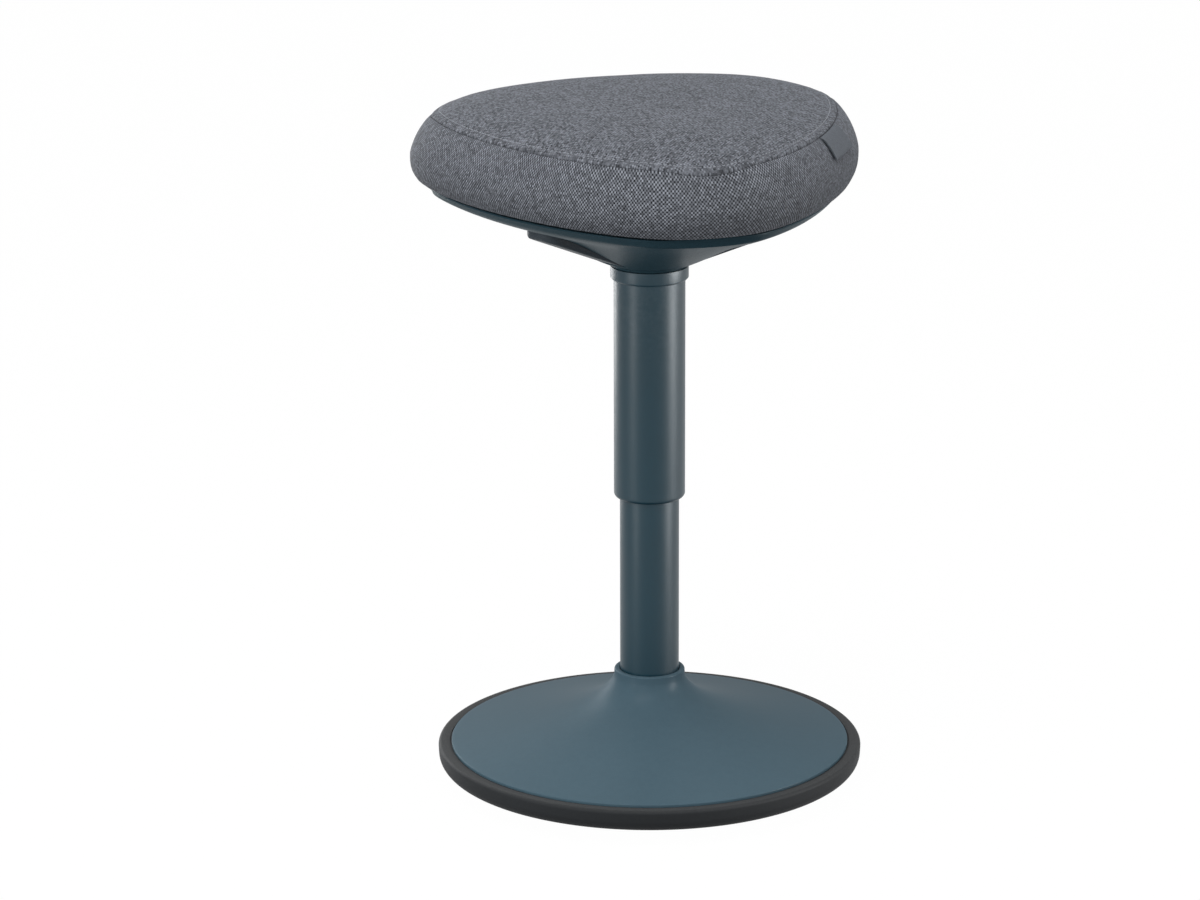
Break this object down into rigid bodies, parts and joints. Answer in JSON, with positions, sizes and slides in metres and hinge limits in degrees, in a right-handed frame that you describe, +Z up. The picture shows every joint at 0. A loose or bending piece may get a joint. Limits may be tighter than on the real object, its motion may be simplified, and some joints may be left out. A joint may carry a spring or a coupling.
{
  "type": "wobble stool",
  "caption": "Height-adjustable wobble stool: three-cornered upholstered seat with release levers on a telescopic gas column and a round rocking base.",
  "frame": {"origin": "centre of the flat middle of the rocker sole, on the floor, on the column's axis", "axes": "+Z up along the column, -Y towards the nose of the three-cornered seat, +X to the right seen from the nose"},
  "size_m": [0.3788, 0.3826, 0.59],
  "materials": {
    "painted_tubes": "satin dark blue-grey paint",
    "cover_paint": "satin blue-grey paint",
    "pan_plastic": "finely grained dark blue-grey plastic",
    "rubber": "matt charcoal rubber",
    "iron": "bare cast plate",
    "steel": "zinc plated",
    "inner_plastic": "moulded, hidden",
    "plywood": "raw plywood, hidden",
    "foam": "open foam, hidden",
    "fabric": "heather grey two-tone weave",
    "label_cloth": "plain woven tape, bare"
  },
  "bodies": {
    "base": {"rocker_sole": "rubber", "base_ring": "rubber", "base_cover": "cover_paint", "weight_plate": "iron", "tube_hub": "steel", "hub_screw_1": "steel", "hub_screw_2": "steel", "hub_screw_3": "steel", "hub_screw_4": "steel", "stand_tube": "painted_tubes", "tube_bushing": "inner_plastic", "lower_washer": "steel"},
    "rod": {"piston_rod": "steel", "piston": "inner_plastic", "rod_clip": "steel", "ball_cage": "steel", "upper_washer": "steel", "bump_stop": "rubber"},
    "seat": {"gas_cylinder": "steel", "cylinder_gland": "inner_plastic", "upper_tube": "painted_tubes", "tube_collar": "painted_tubes", "seat_pan": "pan_plastic", "seat_mount": "steel", "mount_screw_1": "steel", "mount_screw_2": "steel", "mount_screw_3": "steel", "pan_screw_1": "steel", "pan_screw_2": "steel", "pan_screw_3": "steel", "pan_screw_4": "steel", "pan_screw_5": "steel", "pan_screw_6": "steel", "lever_pin_1": "steel", "lever_pin_2": "steel", "lever_pin_3": "steel", "seat_board": "plywood", "seat_foam": "foam", "cover_top": "fabric", "cover_band": "fabric", "label_tab": "label_cloth"},
    "lever_front_right": {"lever_1": "pan_plastic"},
    "lever_back": {"lever_2": "pan_plastic"},
    "lever_front_left": {"lever_3": "pan_plastic"},
    "release": {"release_spool": "inner_plastic", "valve_pin": "steel"}
  },
  "joints": [
    {"name": "seat_swivel", "type": "hinge", "parent": "base", "child": "rod", "pos_m": [0, 0, 0.02], "axis": [0, 0, 1], "continuous": true},
    {"name": "height_slide", "type": "slide", "parent": "rod", "child": "seat", "axis": [0, 0, 1], "range_m": [-0.14, 0]},
    {"name": "lever_hinge_1", "type": "hinge", "parent": "seat", "child": "lever_front_right", "pos_m": [0.04503, -0.026, 0.48], "axis": [-0.5, -0.866, 0], "range_deg": [0, 5], "stiffness_Nm_per_rad": 6, "springref_deg": -2.86},
    {"name": "lever_hinge_2", "type": "hinge", "parent": "seat", "child": "lever_back", "pos_m": [0, 0.052, 0.48], "axis": [1, 0, 0], "range_deg": [0, 5], "stiffness_Nm_per_rad": 6, "springref_deg": -2.86},
    {"name": "lever_hinge_3", "type": "hinge", "parent": "seat", "child": "lever_front_left", "pos_m": [-0.04503, -0.026, 0.48], "axis": [-0.5, 0.866, 0], "range_deg": [0, 5], "stiffness_Nm_per_rad": 6, "springref_deg": -2.86},
    {"name": "release_slide", "type": "slide", "parent": "seat", "child": "release", "axis": [0, 0, 1], "range_m": [-0.0036, 0]}
  ],
  "couplings": [
    {"joint": "lever_hinge_2", "follows": "lever_hinge_1", "ratio": 1},
    {"joint": "lever_hinge_3", "follows": "lever_hinge_1", "ratio": 1},
    {"joint": "release_slide", "follows": "lever_hinge_1", "m_per_rad": -0.0395}
  ]
}
